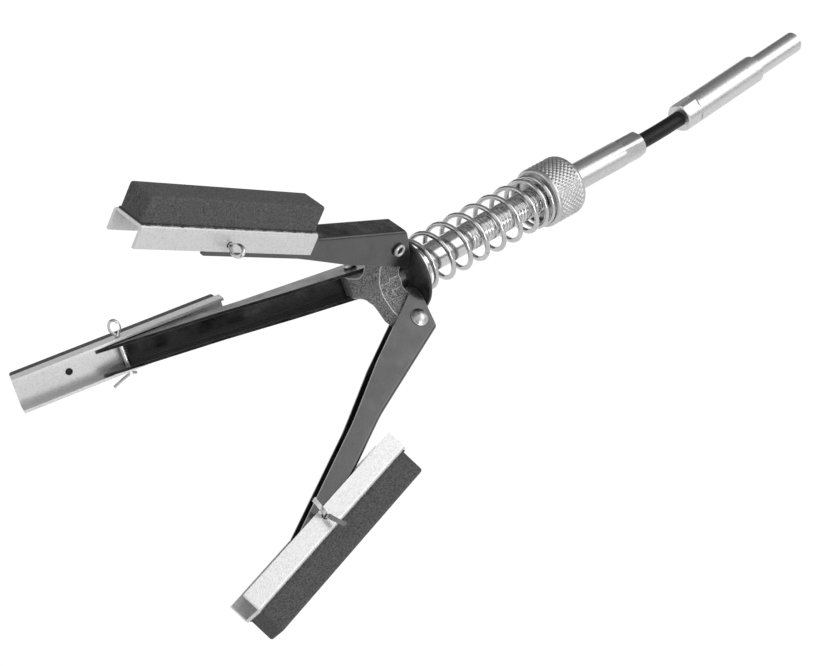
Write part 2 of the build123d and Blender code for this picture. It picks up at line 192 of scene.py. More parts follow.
# the glue's uneven edges, as (size, radians per mm, shift for each stone)
GLUE_NEAR_WAVES = ((1.0, 0.9, 1), (0.7, 2.3, 2), (0.5, 5.1, 0))
GLUE_NEAR_SIZE = 0.2
GLUE_FAR_WAVES = ((0.2, 1.3, 0), (0.15, 3.7, 1))
# a turned piece closes on its axis with this radius
AXIS_R = 0.01
# what lies this close to an edge in mm belongs to it
EDGE_TOLERANCE = 0.01
# edges sharper than these angles aren't smoothed
SHARP_ANGLE = 32.0
WIRE_SHARP_ANGLE = 50.0
KNURL_SHARP_ANGLE = 60.0

# sockets of a colour mix node
MIX_FACTOR = 0
MIX_A = 6
MIX_B = 7
MIX_RESULT = 2

# a corner gets its rubbed wear and painted edge highlight where its rounded and true normals part, between
# these cosines
WEAR_AND_HIGHLIGHT_COSINES = (0.88, 0.995)
WEAR_AND_HIGHLIGHT_SAMPLES = 6
# the shaft is polished in front of the nut's rear end and duller behind it, over this many metres
POLISH_FADE = 0.012


def head_point(x, y, z):
    """A point of the head's own frame, given in mm, in the shared frame."""
    return (HEAD_ORIGIN + x * HEAD_X + y * HEAD_Y + z * HEAD_Z) * MM


def rivet_place(angle):
    """Maps a rivet's own frame, Z from the domed head to the hollow end, to the shared frame."""
    c = math.cos(math.radians(angle))
    s = math.sin(math.radians(angle))

    def place(x, y, z):
        return head_point(RIVET_CIRCLE_R * c + x * c - z * s, RIVET_CIRCLE_R * s + x * s + z * c, y)

    return place


def skin(name, rings, around=True, end_caps=False, sharp=SHARP_ANGLE):
    """A mesh surface through rings of points, closed around each ring unless around is False."""
    count = len(rings[0])
    vertices = [point for ring in rings for point in ring]
    faces = []
    spans = count if around else count - 1
    for i in range(len(rings) - 1):
        for j in range(spans):
            k = (j + 1) % count
            faces.append((i * count + j, i * count + k, (i + 1) * count + k, (i + 1) * count + j))
    if end_caps:
        last = (len(rings) - 1) * count
        faces.append(tuple(reversed(range(count))))
        faces.append(tuple(range(last, last + count)))
    mesh = bpy.data.meshes.new(name)
    mesh.from_pydata([tuple(v) for v in vertices], [], faces)
    mesh.validate()
    mesh.polygons.foreach_set("use_smooth", [True] * len(mesh.polygons))
    mesh.set_sharp_from_angle(angle=math.radians(sharp))
    piece = bpy.data.objects.new(name, mesh)
    bpy.context.scene.collection.objects.link(piece)
    return piece


def turned(name, profile, place, segments=96, relief=None, sharp=SHARP_ANGLE):
    """A turned piece from (radius, z) points. An optional relief(radius, turn, z) returns the radius."""
    rings = []
    for radius, z in profile:
        ring = []
        for j in range(segments):
            turn = j / segments
            r = relief(radius, turn, z) if relief else radius
            a = 2 * math.pi * turn
            ring.append(place(r * math.cos(a), r * math.sin(a), z))
        rings.append(ring)
    return skin(name, rings, sharp=sharp)


def tube(name, centres, radius, sides, relief=None):
    """A round tube along a line of points, with no twist."""
    rings = []
    side = None
    for i, centre in enumerate(centres):
        ahead = centres[min(i + 1, len(centres) - 1)]
        behind = centres[max(i - 1, 0)]
        along = (ahead - behind).normalized()
        if side is None:
            side = along.orthogonal().normalized()
        side = (side - along * side.dot(along)).normalized()
        up = along.cross(side)
        ring = []
        for j in range(sides):
            a = 2 * math.pi * j / sides
            r = radius * (relief(j / sides, i) if relief else 1.0)
            ring.append(centre + (side * math.cos(a) + up * math.sin(a)) * r)
        rings.append(ring)
    return skin(name, rings, end_caps=True, sharp=WIRE_SHARP_ANGLE)


def steps(start, end, count):
    """Evenly spaced numbers from start to end."""
    return [start + (end - start) * i / count for i in range(count + 1)]


def arc_corner(radius, z, rim, way, count=5):
    """Profile points of a rounded outer corner: way is 1 for an end face on the high side, -1 on the low."""
    points = []
    for a in steps(0, 90, count):
        angle = math.radians(a)
        points.append((radius - rim + rim * math.cos(angle), z - way * rim + way * rim * math.sin(angle)))
    return points if way > 0 else points[::-1]


def add_node(tree, kind, **values):
    """A new shader node with its settings."""
    made = tree.nodes.new(kind)
    for key, value in values.items():
        setattr(made, key, value)
    return made


class Finish:
    """A procedural material built round one Principled shader."""

    def __init__(self, name, base, metallic=0.0, roughness=0.5, specular=None):
        self.material = bpy.data.materials.new(name)
        self.material.use_nodes = True
        self.tree = self.material.node_tree
        self.shader = self.tree.nodes["Principled BSDF"]
        self.base = base
        self.set("Base Color", (*base, 1.0))
        self.set("Metallic", metallic)
        self.set("Roughness", roughness)
        if specular is not None:
            self.set("Specular IOR Level", specular)
        self.place = self.node("ShaderNodeTexCoord").outputs["Object"]

    def set(self, socket, value):
        self.shader.inputs[socket].default_value = value

    def node(self, kind, **values):
        return add_node(self.tree, kind, **values)

    def link(self, output, target):
        self.tree.links.new(output, target)

    def noise(self, scale, detail=3.0, rough=0.5):
        """Noise with features of about 1/scale metres."""
        made = self.node("ShaderNodeTexNoise")
        made.inputs["Scale"].default_value = scale
        made.inputs["Detail"].default_value = detail
        made.inputs["Roughness"].default_value = rough
        self.link(self.place, made.inputs["Vector"])
        return made.outputs["Fac"]

    def cells(self, scale):
        """Random values in crystal-like cells."""
        made = self.node("ShaderNodeTexVoronoi")
        made.inputs["Scale"].default_value = scale
        self.link(self.place, made.inputs["Vector"])
        split = self.node("ShaderNodeSeparateColor")
        self.link(made.outputs["Color"], split.inputs[0])
        return split.outputs[0]

    def along(self, axis):
        """Metres along an axis."""
        made = self.node("ShaderNodeVectorMath", operation="DOT_PRODUCT")
        made.inputs[1].default_value = axis
        self.link(self.place, made.inputs[0])
        return made.outputs["Value"]

    def lines(self, axis, scale, detail=2.0):
        """Random lines square to an axis, as a turning or drawing tool leaves."""
        made = self.node("ShaderNodeTexNoise", noise_dimensions="1D")
        made.inputs["Scale"].default_value = scale
        made.inputs["Detail"].default_value = detail
        self.link(self.along(axis), made.inputs["W"])
        return made.outputs["Fac"]

    def ranged(self, value, low, high, start=0.3, end=0.7):
        """A value stretched from start..end to low..high."""
        made = self.node("ShaderNodeMapRange")
        for key, number in (("From Min", start), ("From Max", end), ("To Min", low), ("To Max", high)):
            made.inputs[key].default_value = number
        self.link(value, made.inputs["Value"])
        return made.outputs["Result"]

    def tint(self, value, low, high, start=0.3, end=0.7):
        """The base colour varies between low and high times itself."""
        ramp = self.node("ShaderNodeMix", data_type="RGBA")
        ramp.inputs[MIX_A].default_value = (*[c * low for c in self.base], 1.0)
        ramp.inputs[MIX_B].default_value = (*[c * high for c in self.base], 1.0)
        self.link(self.ranged(value, 0.0, 1.0, start, end), ramp.inputs[MIX_FACTOR])
        self.link(ramp.outputs[MIX_RESULT], self.shader.inputs["Base Color"])

    def rough(self, value, low, high, start=0.3, end=0.7):
        """Roughness varies between low and high."""
        self.link(self.ranged(value, low, high, start, end), self.shader.inputs["Roughness"])

    def bump(self, value, depth):
        """Relief of that depth in mm."""
        made = self.node("ShaderNodeBump")
        made.inputs["Strength"].default_value = 1.0
        made.inputs["Distance"].default_value = depth * MM
        self.link(value, made.inputs["Height"])
        self.link(made.outputs["Normal"], self.shader.inputs["Normal"])

    def wear_and_edge_highlight(self, width, shade):
        """Corners painted another shade of grey over a width in mm: partly rubbed wear, partly a painted edge
        highlight.
        """
        rounded = self.node("ShaderNodeBevel", samples=WEAR_AND_HIGHLIGHT_SAMPLES)
        rounded.inputs["Radius"].default_value = width * MM
        surface = self.node("ShaderNodeNewGeometry")
        same = self.node("ShaderNodeVectorMath", operation="DOT_PRODUCT")
        self.link(rounded.outputs[0], same.inputs[0])
        self.link(surface.outputs["Normal"], same.inputs[1])
        rubbed_and_lit = self.ranged(same.outputs["Value"], 1.0, 0.0, *WEAR_AND_HIGHLIGHT_COSINES)
        mix = self.node("ShaderNodeMix", data_type="RGBA")
        self.link(rubbed_and_lit, mix.inputs[MIX_FACTOR])
        self.link(self.shader.inputs["Base Color"].links[0].from_socket, mix.inputs[MIX_A])
        mix.inputs[MIX_B].default_value = (*grey(shade), 1.0)
        self.link(mix.outputs[MIX_RESULT], self.shader.inputs["Base Color"])


def grey(value):
    return (value, value, value)


SHANK_AXIS = (1.0, 0.0, 0.0)
HEAD_AXIS = tuple(HEAD_Z)

turned_steel = Finish("turned_steel", grey(0.6), 1.0, 0.36)
turned_steel.rough(turned_steel.noise(700.0), 0.31, 0.42)
turned_steel.bump(turned_steel.lines(SHANK_AXIS, 5200.0), 0.0003)
turned_steel.tint(turned_steel.noise(1500.0, 3.0), 0.84, 1.08)

shaft_steel = Finish("shaft_steel", grey(0.58), 1.0, 0.36)
polish_end = (HEAD_ORIGIN.dot(HEAD_Z) + NUT_Z_FRONT + NUT_LENGTH) * MM
shaft_steel.rough(shaft_steel.along(HEAD_AXIS), 0.19, 0.37, polish_end - POLISH_FADE, polish_end)
shaft_steel.bump(shaft_steel.lines(HEAD_AXIS, 5200.0), 0.0003)
shaft_steel.tint(shaft_steel.noise(1500.0, 3.0), 0.82, 1.06)

nut_steel = Finish("nut_steel", grey(0.5), 1.0, 0.36)
nut_steel.rough(nut_steel.noise(900.0), 0.3, 0.44)
nut_steel.bump(nut_steel.noise(2600.0, 2.0), 0.003)
nut_steel.tint(nut_steel.noise(300.0), 0.86, 1.05)

spring_steel = Finish("spring_steel", grey(0.52), 1.0, 0.2)
spring_steel.rough(spring_steel.noise(700.0), 0.1, 0.2)
spring_steel.bump(spring_steel.noise(1200.0, 2.0), 0.003)
spring_steel.tint(spring_steel.noise(260.0), 0.86, 1.04)

cable_cover = Finish("cable_cover", grey(0.003), 0.0, 0.42, specular=0.2)
cable_cover.rough(cable_cover.noise(500.0), 0.34, 0.52)
cable_cover.bump(cable_cover.noise(1500.0), 0.03)
cable_cover.tint(cable_cover.noise(1400.0, 3.0), 0.3, 3.2)

cable_strand = Finish("cable_strand", grey(0.42), 1.0, 0.35)
cable_strand.rough(cable_strand.noise(800.0), 0.28, 0.46)
cable_strand.bump(cable_strand.noise(3000.0), 0.004)
cable_strand.tint(cable_strand.noise(400.0), 0.8, 1.05)

cup_paint = Finish("cup_paint", grey(0.012), 0.0, 0.3, specular=0.5)
cup_paint.rough(cup_paint.noise(260.0), 0.2, 0.44)
cup_paint.bump(cup_paint.noise(700.0, 3.0), 0.02)
cup_paint.tint(cup_paint.noise(300.0, 4.0, 0.7), 0.3, 3.0)

arm_paint = Finish("arm_paint", grey(0.007), 0.0, 0.25, specular=0.9)
arm_paint.rough(arm_paint.noise(180.0), 0.16, 0.32)
arm_paint.bump(arm_paint.noise(900.0, 3.0), 0.012)
arm_paint.tint(arm_paint.noise(260.0, 5.0, 0.65), 0.3, 2.6)
# lighter edges on the black paint: partly bare sheared metal, partly a painted highlight along the edges and
# bends
arm_paint.wear_and_edge_highlight(0.25, 0.12)

hub_casting = Finish("hub_casting", grey(0.09), 0.3, 0.5)
hub_casting.rough(hub_casting.noise(1200.0), 0.36, 0.66)
hub_casting.bump(hub_casting.noise(1300.0, 4.0, 0.7), 0.09)
hub_casting.tint(hub_casting.noise(2100.0, 4.0, 0.75), 0.1, 5.0, 0.41, 0.66)
# bright edges on the casting: partly rubbed metal, partly a painted edge highlight
hub_casting.wear_and_edge_highlight(0.6, 0.8)

rivet_steel = Finish("rivet_steel", grey(0.5), 1.0, 0.34)
rivet_steel.rough(rivet_steel.noise(700.0), 0.28, 0.42)
rivet_steel.bump(rivet_steel.noise(900.0), 0.002)
rivet_steel.tint(rivet_steel.noise(500.0), 0.7, 1.1)

holder_zinc = Finish("holder_zinc", grey(0.61), 0.6, 0.36)
holder_zinc.rough(holder_zinc.noise(900.0), 0.31, 0.44)
holder_zinc.bump(holder_zinc.noise(2900.0, 0.0), 0.018)
holder_zinc.tint(holder_zinc.cells(2700.0), 0.87, 1.04, 0.0, 0.5)

pin_steel = Finish("pin_steel", grey(0.6), 1.0, 0.24)
pin_steel.rough(pin_steel.noise(900.0), 0.18, 0.32)
pin_steel.bump(pin_steel.noise(1600.0), 0.002)
pin_steel.tint(pin_steel.noise(500.0), 0.75, 1.05)

abrasive = Finish("abrasive", grey(0.074), 0.0, 0.86, specular=0.3)
abrasive.rough(abrasive.noise(1700.0), 0.75, 0.95)
abrasive.bump(abrasive.noise(1500.0, 5.0, 0.75), 0.16)
abrasive.tint(abrasive.noise(1900.0, 5.0, 0.8), 0.35, 1.9, 0.35, 0.65)
# lighter edges on the stones: a painted highlight along the chamfered edges, partly rubbed wear
abrasive.wear_and_edge_highlight(0.9, 0.13)

glue = Finish("glue", grey(0.012), 0.0, 0.35, specular=0.5)
glue.rough(glue.noise(600.0), 0.28, 0.5)
glue.tint(glue.noise(400.0), 0.5, 1.8)

FINISHES = {
    "turned_steel": turned_steel,
    "shaft_steel": shaft_steel,
    "nut_steel": nut_steel,
    "spring_steel": spring_steel,
    "cable_cover": cable_cover,
    "cable_strand": cable_strand,
    "cup_paint": cup_paint,
    "hub_casting": hub_casting,
    "arm_paint": arm_paint,
    "rivet_steel": rivet_steel,
    "holder_zinc": holder_zinc,
    "pin_steel": pin_steel,
    "abrasive": abrasive,
    "glue": glue,
}


def dress(node, slot):
    """Gives a CAD node the finish of its slot."""
    for place in nodes[node].material_slots:
        place.material = FINISHES[slot].material


def fit(piece, slot, body=None, replaced=(), finish=None):
    """Gives a new piece its finish, body and the nodes that it stands for."""
    piece.data.materials.append(FINISHES[finish or slot].material)
    if body:
        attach(piece, body)
    if replaced:
        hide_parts(*replaced)


dress("drive_shank", "turned_steel")
dress("hub_spider", "hub_casting")
for number in (1, 2, 3):
    dress(f"arm_{number}", "arm_paint")
    dress(f"stone_holder_{number}", "holder_zinc")
    dress(f"stone_{number}", "abrasive")


def hexagon_radius(flats, turn, offset):
    """Distance from the axis to a hexagon's side."""
    sector = ((turn + offset) * 6) % 1.0 - 0.5
    return flats / 2 / math.cos(sector * math.pi / 3)


z_crimp = SHAFT_Z_REAR - SHAFT_CRIMP_LENGTH
z_bore = SHAFT_Z_REAR - CABLE_BORE_DEPTH


def shaft_relief(radius, turn, z):
    """Thread and crimp flats on the main shaft."""
    if radius < SHAFT_R - SHAFT_RELIEF_DEPTH:
        return radius
    if THREAD_Z_FRONT < z < THREAD_Z_REAR:
        phase = ((z - THREAD_Z_FRONT) / THREAD_PITCH - turn) % 1.0
        groove = max(0.0, 1.0 - abs(phase - 0.5) * THREAD_SLOPE)
        run_out = min(1.0, (z - THREAD_Z_FRONT) / THREAD_RUN_OUT, (THREAD_Z_REAR - z) / THREAD_RUN_OUT)
        return radius - THREAD_DEPTH * groove * run_out
    if z > z_crimp + EDGE_TOLERANCE:
        return min(radius, hexagon_radius(SHAFT_FLATS, turn, 1 / 12))
    return radius


shaft_profile = [(AXIS_R, SPIGOT_Z), (SPIGOT_R - SPIGOT_CHAMFER, SPIGOT_Z)]
shaft_profile += [(SPIGOT_R, SPIGOT_Z + SPIGOT_CHAMFER), (SPIGOT_R, SHAFT_Z_FRONT)]
shaft_profile += [(SHAFT_R, z) for z in steps(SHAFT_Z_FRONT, THREAD_Z_FRONT, 6)]
thread_steps = int((THREAD_Z_REAR - THREAD_Z_FRONT) / THREAD_PITCH * THREAD_STEPS)
shaft_profile += [(SHAFT_R, z) for z in steps(THREAD_Z_FRONT, THREAD_Z_REAR, thread_steps)[1:]]
shaft_profile += [(SHAFT_R, z_crimp), (SHAFT_R, z_crimp + SHAFT_CRIMP_STEP)]
shaft_profile += [(SHAFT_R, SHAFT_Z_REAR - SHAFT_CHAMFER), (SHAFT_R - SHAFT_CHAMFER, SHAFT_Z_REAR)]
shaft_profile += [(CABLE_BORE_R, SHAFT_Z_REAR), (CABLE_BORE_R, z_bore), (AXIS_R, z_bore)]
threaded_shaft = turned("threaded_shaft", shaft_profile, head_point, SHAFT_SEGMENTS, shaft_relief)
fit(threaded_shaft, "shaft_steel", "shaft", ["main_shaft"])


def knurl(radius, turn, z):
    """Diamond knurl round the grip of the nut."""
    if radius < NUT_R - EDGE_TOLERANCE or not grip_front < z < grip_rear:
        return radius
    across = turn * KNURL_COUNT
    along = (z - grip_front) / KNURL_PITCH
    first = 1.0 - min(1.0, abs((across + along) % 1.0 - 0.5) * KNURL_SLOPE)
    second = 1.0 - min(1.0, abs((across - along) % 1.0 - 0.5) * KNURL_SLOPE)
    fade = min(1.0, (z - grip_front) / KNURL_FADE, (grip_rear - z) / KNURL_FADE)
    return radius - KNURL_DEPTH * max(first, second) * fade


grip_front = NUT_Z_FRONT + NUT_RING_LENGTH
nut_rear = NUT_Z_FRONT + NUT_LENGTH
grip_rear = nut_rear - NUT_RIM_R
z_recess = NUT_Z_FRONT + NUT_RECESS_DEPTH
nut_profile = [(NUT_BORE_R, z_recess), (NUT_RECESS_R, z_recess)]
nut_profile += [(NUT_RECESS_R - inset, NUT_Z_FRONT + height) for inset, height in NUT_LIP]
nut_profile += arc_corner(NUT_R, NUT_Z_FRONT, NUT_FRONT_RIM_R, -1)
nut_profile += [(NUT_R, z) for z in steps(grip_front, grip_rear, KNURL_STEPS)]
nut_profile += arc_corner(NUT_R, nut_rear, NUT_RIM_R, 1)[1:]
nut_profile += [(NUT_BORE_R + NUT_BORE_CHAMFER, nut_rear), (NUT_BORE_R, nut_rear - NUT_BORE_CHAMFER)]
nut_profile.append((NUT_BORE_R, z_recess))
nut_segments = KNURL_COUNT * KNURL_SEGMENTS
knurled_nut = turned("knurled_nut", nut_profile, head_point, nut_segments, knurl, KNURL_SHARP_ANGLE)
fit(knurled_nut, "nut_steel", "nut", ["adjusting_nut"])


def dome_z(sphere_r, radius):
    """Height of the cup's front or back surface at a radius."""
    return CUP_APEX_Z + CUP_SPHERE_R - math.sqrt(sphere_r ** 2 - radius ** 2)


cup_inner = CUP_SPHERE_R - CUP_SHEET
cup_bore = SHAFT_R + CUP_CLEARANCE
cup_rim = CUP_R - CUP_EDGE_R
cup_profile = [(r, dome_z(CUP_SPHERE_R, r)) for r in steps(cup_bore, cup_rim, CUP_STEPS)]
z_edge = (dome_z(CUP_SPHERE_R, cup_rim) + dome_z(cup_inner, cup_rim)) / 2
for a in steps(-CUP_EDGE_ANGLE, CUP_EDGE_ANGLE, CUP_EDGE_STEPS):
    angle = math.radians(a)
    z = z_edge + CUP_EDGE_HALF_HEIGHT * math.sin(angle)
    cup_profile.append((cup_rim + CUP_EDGE_R * math.cos(angle), z))
cup_profile += [(r, dome_z(cup_inner, r)) for r in steps(cup_rim, cup_bore, CUP_STEPS)]
cup_profile.append(cup_profile[0])
fit(turned("pressed_cup", cup_profile, head_point), "cup_paint", "cup", ["spring_cup"])


def spring_line(z_start, z_end):
    """Centre line of the wire, with closer turns at both ends and an easing between close and open coils."""
    coil_r = SPRING_R - WIRE_R
    low = z_start + WIRE_R
    high = z_end - WIRE_R
    closed = CLOSED_TURNS * CLOSED_PITCH
    active = (high - low - closed - REAR_END_TURNS * REAR_END_PITCH) / COIL_PITCH
    phase = CABLE_BEND_SIDE / 360 - (FIRST_COIL_Z - low - closed) / COIL_PITCH - CLOSED_TURNS
    turns = CLOSED_TURNS + active + REAR_END_TURNS

    def height(n):
        if n < CLOSED_TURNS:
            return low + n * CLOSED_PITCH
        if n < CLOSED_TURNS + active:
            return low + closed + (n - CLOSED_TURNS) * COIL_PITCH
        return high - (turns - n) * REAR_END_PITCH

    points = []
    count = int(turns * COIL_STEPS)
    for i in range(count + 1):
        n = turns * i / count
        z = sum(height(n + shift) for shift in COIL_EASING) / len(COIL_EASING)
        a = 2 * math.pi * (n + phase)
        points.append(head_point(coil_r * math.cos(a), coil_r * math.sin(a), z))
    return points


wire = spring_line(*SPRING_Z)
half = len(wire) // 2
front_coils = tube("front_coils", wire[: half + 1], WIRE_R * MM, WIRE_SIDES)
rear_coils = tube("rear_coils", wire[half:], WIRE_R * MM, WIRE_SIDES)
fit(front_coils, "spring_steel", None, ["tension_spring"])
fit(rear_coils, "spring_steel", None, ["tension_spring"])
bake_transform(front_coils)
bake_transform(rear_coils)


def cable_line():
    """Centre line of the cable from its seat in the shank's sleeve to its seat in the main shaft."""
    side = math.radians(CABLE_BEND_SIDE)
    up = Vector((0, -math.sin(side), math.cos(side)))
    bend = math.radians(CABLE_BEND)
    radius = CABLE_FREE_LENGTH / bend
    rear = Vector((CABLE_X_REAR, 0, 0))
    end = rear + Vector((-radius * math.sin(bend), 0, 0)) + up * (radius * (1 - math.cos(bend)))
    forward = Vector((-math.cos(bend), 0, 0)) + up * math.sin(bend)
    points = [rear + Vector((CABLE_SEAT, 0, 0)), rear + Vector((CABLE_SEAT / 2, 0, 0))]
    for t in steps(0, bend, CABLE_STEPS):
        points.append(rear + Vector((-radius * math.sin(t), 0, 0)) + up * (radius * (1 - math.cos(t))))
    points += [end + forward * (CABLE_SEAT / 2), end + forward * CABLE_SEAT]
    return [point * MM for point in points]


def strand_relief(turn, i):
    """Six strands laid in a long helix."""
    return STRAND_LOW + STRAND_RISE * abs(math.cos(3 * 2 * math.pi * (turn + i * STRAND_TWIST)))


cable = cable_line()
middle = len(cable) // 2
for name, line, bodies, ends in (
    ("rear", cable[: middle + 1], ("shank", "cable"), (cable[2], cable[middle])),
    ("front", cable[middle:], ("cable", "shaft"), (cable[middle], cable[-3])),
):
    cover = tube(f"{name}_cable_cover", line, SHEATH_R * MM, SHEATH_SIDES)
    strands = tube(f"{name}_cable_strands", line, CORE_R * MM, CORE_SIDES, strand_relief)
    fit(cover, "cable_cover", None, ["cable_sheath"])
    fit(strands, "cable_strand", None, ["cable_core"])
    for piece in (cover, strands):
        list(bodies)
        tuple(ends[0])
        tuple(ends[1])
        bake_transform(piece)


def rivet_profile():
    """Domed head, shank and rolled hollow end."""
    sphere_r = (RIVET_HEAD_R ** 2 + RIVET_HEAD_HEIGHT ** 2) / (2 * RIVET_HEAD_HEIGHT)
    top = -RIVET_SEAT - RIVET_HEAD_HEIGHT
    edge_inset, edge_height = RIVET_HEAD_EDGE
    foot_inset, foot_height = RING_FOOT
    dome = steps(AXIS_R, RIVET_HEAD_R - edge_inset, RIVET_DOME_STEPS)
    points = [(r, top + sphere_r - math.sqrt(sphere_r ** 2 - r ** 2)) for r in dome]
    points += [(RIVET_HEAD_R, -RIVET_SEAT - edge_height), (RIVET_HEAD_R - RIVET_HEAD_FOOT, -RIVET_SEAT)]
    points += [(RIVET_R, -RIVET_SEAT), (RIVET_R, RIVET_SEAT)]
    points += [(RING_R - foot_inset, RIVET_SEAT), (RING_R, RIVET_SEAT + foot_height)]
    high = RIVET_SEAT + RING_HEIGHT
    roll = (RING_R - HOLLOW_R) / 2
    centre = (RING_R + HOLLOW_R) / 2
    for a in steps(0, 180, RING_STEPS):
        angle = math.radians(a)
        points.append((centre + roll * math.cos(angle), high - roll + roll * math.sin(angle)))
    bottom = high - HOLLOW_DEPTH
    points += [(HOLLOW_R, bottom + HOLLOW_TIP), (AXIS_R, bottom)]
    return points


for number, angle in enumerate(ARM_ANGLES, 1):
    rivet = turned(f"rivet_{number}", rivet_profile(), rivet_place(angle), RIVET_SEGMENTS)
    fit(rivet, "rivet_steel", "shaft", [f"arm_rivet_{number}"])


def head_direction(x, y, z):
    """A direction of the head's own frame in the shared frame."""
    return x * HEAD_X + y * HEAD_Y + z * HEAD_Z


def holder_place(number):
    """Maps a stone holder's own frame to the shared one: X towards the front, Y along the pin, Z outwards."""
    joint = next(j for j in frame["joints"] if j["name"] == f"stone_{number}_tilt")
    pivot = Vector(joint["pos_m"])
    a = math.radians(ARM_ANGLES[number - 1])
    o = math.radians(HOLDER_OPENINGS[number - 1])
    along = head_direction(math.sin(o) * math.cos(a), math.sin(o) * math.sin(a), -math.cos(o))
    outward = head_direction(math.cos(o) * math.cos(a), math.cos(o) * math.sin(a), math.sin(o))
    across = outward.cross(along)

    def place(x, y, z):
        return pivot + (x * along + y * across + z * outward) * MM

    return place


def pin_line(tails):
    """Points (y, spread) along a cotter pin's doubled wire, from one tail round the eye to the other."""
    low = -HOLDER_WIDTH / 2 - PIN_FORK_GAP
    neck = HOLDER_WIDTH / 2 + PIN_NECK_GAP
    flare_height, flare_spread = PIN_NECK_FLARE
    side = PIN_SLIT / 2
    points = []
    for tail, way in zip(tails, (1, -1)):
        leg = [(low - drop * tail, side + tail * spread) for drop, spread in PIN_TAIL_BENDS]
        leg += [(low + height, side + spread) for height, spread in PIN_FORK]
        leg += [(y, side) for y in steps(low + PIN_SHANK_START, neck, PIN_SHANK_STEPS)]
        leg += [(neck + flare_height, side + flare_spread)]
        points.append([(y, way * spread) for y, spread in leg])
    arc = []
    for a in steps(*PIN_EYE_ANGLES, PIN_EYE_STEPS):
        angle = math.radians(a)
        y = PIN_EYE_Y + PIN_EYE_HALF_LENGTH * math.sin(angle)
        arc.append((y, PIN_EYE_HALF_WIDTH * math.cos(angle)))
    return points[0] + arc + points[1][::-1]


def cotter_wire(number):
    """Half-round wire folded double, its flat side inwards."""
    place = holder_place(number)
    turn = math.radians(PIN_TURNS[number - 1])
    line = pin_line(PIN_TAILS[number - 1])
    rings = []
    for i, (y, spread) in enumerate(line):
        y0, s0 = line[max(i - 1, 0)]
        y1, s1 = line[min(i + 1, len(line) - 1)]
        length = math.hypot(y1 - y0, s1 - s0)
        out_y, out_s = -(s1 - s0) / length, (y1 - y0) / length
        ring = []
        for a in steps(-90, 90, PIN_WIRE_STEPS):
            out = PIN_WIRE_R * math.cos(math.radians(a))
            flat = PIN_WIRE_R * math.sin(math.radians(a))
            s = spread + out * out_s
            x = s * math.cos(turn) + flat * math.sin(turn)
            z = flat * math.cos(turn) - s * math.sin(turn)
            ring.append(place(x, y + out * out_y, z))
        rings.append(ring)
    return skin(f"cotter_wire_{number}", rings, end_caps=True, sharp=WIRE_SHARP_ANGLE)


def waves(parts, x, number):
    """The parts of an uneven edge at x, different for each stone."""
    return [size * math.sin(x * rate + shift * number) for size, rate, shift in parts]


def glue_line(number):
    """Dark glue squeezed out unevenly between a stone and its holder."""
    place = holder_place(number)
    low = HOLDER_FACE_H
    high = HOLDER_FACE_H + GLUE_THICKNESS
    edge = STONE_WIDTH / 2 + GLUE_REACH
    rings = []
    for i in range(GLUE_STEPS + 1):
        x = STONE_LENGTH * (i / GLUE_STEPS - 0.5)
        near = edge + GLUE_NEAR_SIZE * sum(waves(GLUE_NEAR_WAVES, x, number))
        far = sum(waves(GLUE_FAR_WAVES, x, number), edge)
        corners = ((-far, low), (near, low), (near - GLUE_BEVEL, high), (GLUE_BEVEL - far, high))
        rings.append([place(x, y, z) for y, z in corners])
    return skin(f"glue_line_{number}", rings, end_caps=True)


for number in (1, 2, 3):
    body = f"stone_{number}_body"
    fit(cotter_wire(number), "pin_steel", body, [f"cotter_pin_{number}"])
    fit(glue_line(number), "abrasive", body, finish="glue")


STUDIO_CENTRE = (-0.17, 0.0, 0.0)
FLOOR_DROP = 0.062
FLOOR_RADIUS = 0.5
FLOOR_SEGMENTS = 96
FLOOR_SHADE = 0.7
FLOOR_SHADE_SEEN = 0.16
FLOOR_GLOW = 0.9
CARD_DROP = 0.012
DAYLIGHT = 0.55
CARD_STEPS = 16


def seen_rays(tree):
    """1 for rays from the lens or sent on by metal or glass, 0 for those that light the object."""
    path = add_node(tree, "ShaderNodeLightPath")
    seen = path.outputs["Is Camera Ray"]
    for kind in ("Is Glossy Ray", "Is Transmission Ray"):
        larger = add_node(tree, "ShaderNodeMath", operation="MAXIMUM")
        tree.links.new(seen, larger.inputs[0])
        tree.links.new(path.outputs[kind], larger.inputs[1])
        seen = larger.outputs[0]
    return seen


# floor: pale, white to the lens and in reflections, with the soft shadow kept; the shank is held above it,
# so that the head stays clear of it when the cable bends down
floor_z = cad_bounds[0][2] - FLOOR_DROP
card_foot = cad_bounds[0][2] - CARD_DROP
floor_rim = []
for i in range(FLOOR_SEGMENTS):
    a = 2 * math.pi * i / FLOOR_SEGMENTS
    floor_rim.append((STUDIO_CENTRE[0] + FLOOR_RADIUS * math.cos(a), FLOOR_RADIUS * math.sin(a), floor_z))
floor_mesh = bpy.data.meshes.new("floor")
floor_mesh.from_pydata(floor_rim, [], [tuple(range(FLOOR_SEGMENTS))])
floor = bpy.data.objects.new("floor", floor_mesh)
bpy.context.scene.collection.objects.link(floor)
floor_finish = bpy.data.materials.new("floor_pale")
floor_finish.use_nodes = True
tree = floor_finish.node_tree
tree.nodes.clear()
plain = add_node(tree, "ShaderNodeBsdfDiffuse")
plain.inputs["Color"].default_value = (*grey(FLOOR_SHADE), 1)
faint = add_node(tree, "ShaderNodeBsdfDiffuse")
faint.inputs["Color"].default_value = (*grey(FLOOR_SHADE_SEEN), 1)
glow = add_node(tree, "ShaderNodeEmission")
glow.inputs["Strength"].default_value = FLOOR_GLOW
bright = add_node(tree, "ShaderNodeAddShader")
tree.links.new(faint.outputs[0], bright.inputs[0])
tree.links.new(glow.outputs[0], bright.inputs[1])
pick = add_node(tree, "ShaderNodeMixShader")
tree.links.new(seen_rays(tree), pick.inputs[0])
tree.links.new(plain.outputs[0], pick.inputs[1])
tree.links.new(bright.outputs[0], pick.inputs[2])
out = add_node(tree, "ShaderNodeOutputMaterial")
tree.links.new(pick.outputs[0], out.inputs["Surface"])
floor_mesh.materials.append(floor_finish)

